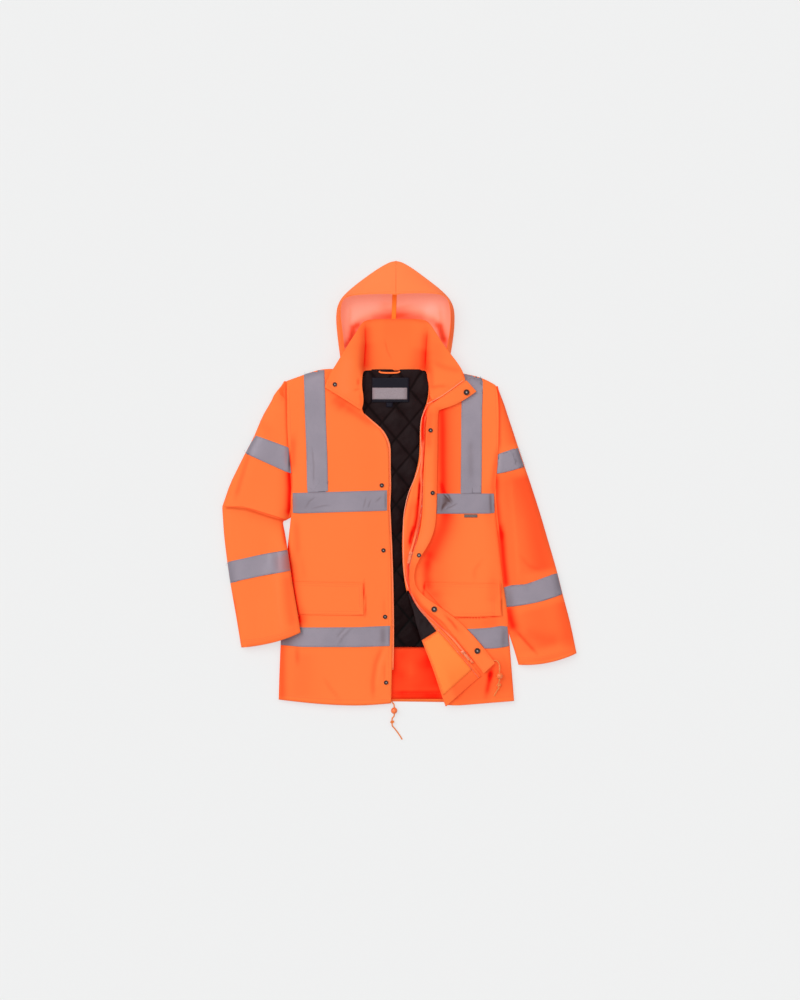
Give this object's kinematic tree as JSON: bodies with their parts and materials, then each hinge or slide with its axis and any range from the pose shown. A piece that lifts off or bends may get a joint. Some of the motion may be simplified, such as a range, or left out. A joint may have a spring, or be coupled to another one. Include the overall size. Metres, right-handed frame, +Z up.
{
  "type": "hi-vis work jacket",
  "caption": "Hooded high-visibility work jacket laid open on a flat surface, front up, with reflective tape, storm flap, hem pocket flaps and one front corner turned back.",
  "frame": {"origin": "middle of the cloth's footprint, on the surface it lies on", "axes": "+X towards the wearer's left sleeve, +Y from the hem towards the hood, +Z up from the surface, out of the jacket's front"},
  "size_m": [0.8614, 1.1656, 0.054],
  "materials": {
    "hi_vis_shell": "fluorescent orange coated polyester, satin",
    "facing": "lighter orange facing and seam tape, satin",
    "reflective_tape": "silver retroreflective",
    "lining": "black quilted lining",
    "zip": "coral moulded plastic",
    "studs": "dark nickel",
    "label": "navy woven",
    "label_panel": "pale grey woven, left blank",
    "cord": "braided cord"
  },
  "bodies": {
    "jacket": {"back": "hi_vis_shell", "back_hem_facing": "facing", "back_lining": "lining", "collar": "hi_vis_shell", "cord_bead_l": "cord", "cord_bead_r": "cord", "cord_knot_l": "cord", "cord_knot_r": "cord", "cord_l": "cord", "cord_r": "cord", "front_facing_l": "facing", "front_l": "hi_vis_shell", "front_lining_l": "lining", "front_r": "hi_vis_shell", "hanging_loop": "hi_vis_shell", "hood_l": "hi_vis_shell", "hood_r": "hi_vis_shell", "hood_seam_tape": "facing", "label": "label", "label_panel": "label_panel", "pocket_flap_l": "hi_vis_shell", "pocket_flap_r": "hi_vis_shell", "side_tab": "label_panel", "size_tab": "label", "sleeve_top_l": "hi_vis_shell", "sleeve_top_r": "hi_vis_shell", "sleeve_under_l": "hi_vis_shell", "sleeve_under_r": "hi_vis_shell", "slider_lower": "zip", "slider_upper": "zip", "storm_flap_l": "hi_vis_shell", "stud_collar_l": "studs", "stud_collar_r": "studs", "stud_l1": "studs", "stud_l2": "studs", "stud_l3": "studs", "stud_l4": "studs", "stud_l5": "studs", "stud_r1": "studs", "stud_r2": "studs", "stud_r3": "studs", "stud_r4": "studs", "tape_brace_l": "reflective_tape", "tape_brace_r": "reflective_tape", "tape_chest_l": "reflective_tape", "tape_chest_r": "reflective_tape", "tape_hem_l": "reflective_tape", "tape_hem_r": "reflective_tape", "tape_lower_l": "reflective_tape", "tape_lower_r": "reflective_tape", "tape_upper_l": "reflective_tape", "tape_upper_r": "reflective_tape", "zip_tape_l": "zip", "zip_tape_r": "zip"},
    "upper_pull": {"pull_tab_upper": "zip"},
    "lower_pull": {"pull_tab_lower": "zip"}
  },
  "joints": [
    {"name": "upper_pull_tab", "type": "hinge", "parent": "jacket", "child": "upper_pull", "pos_m": [0.02625, -0.17029, 0.02905], "axis": [-0.9775, 0.1955, 0.0789], "range_deg": [0, 170]},
    {"name": "lower_pull_tab", "type": "hinge", "parent": "jacket", "child": "lower_pull", "pos_m": [0.1539, -0.40932, 0.03384], "axis": [-0.7688, -0.639, -0.0272], "range_deg": [0, 170]}
  ]
}
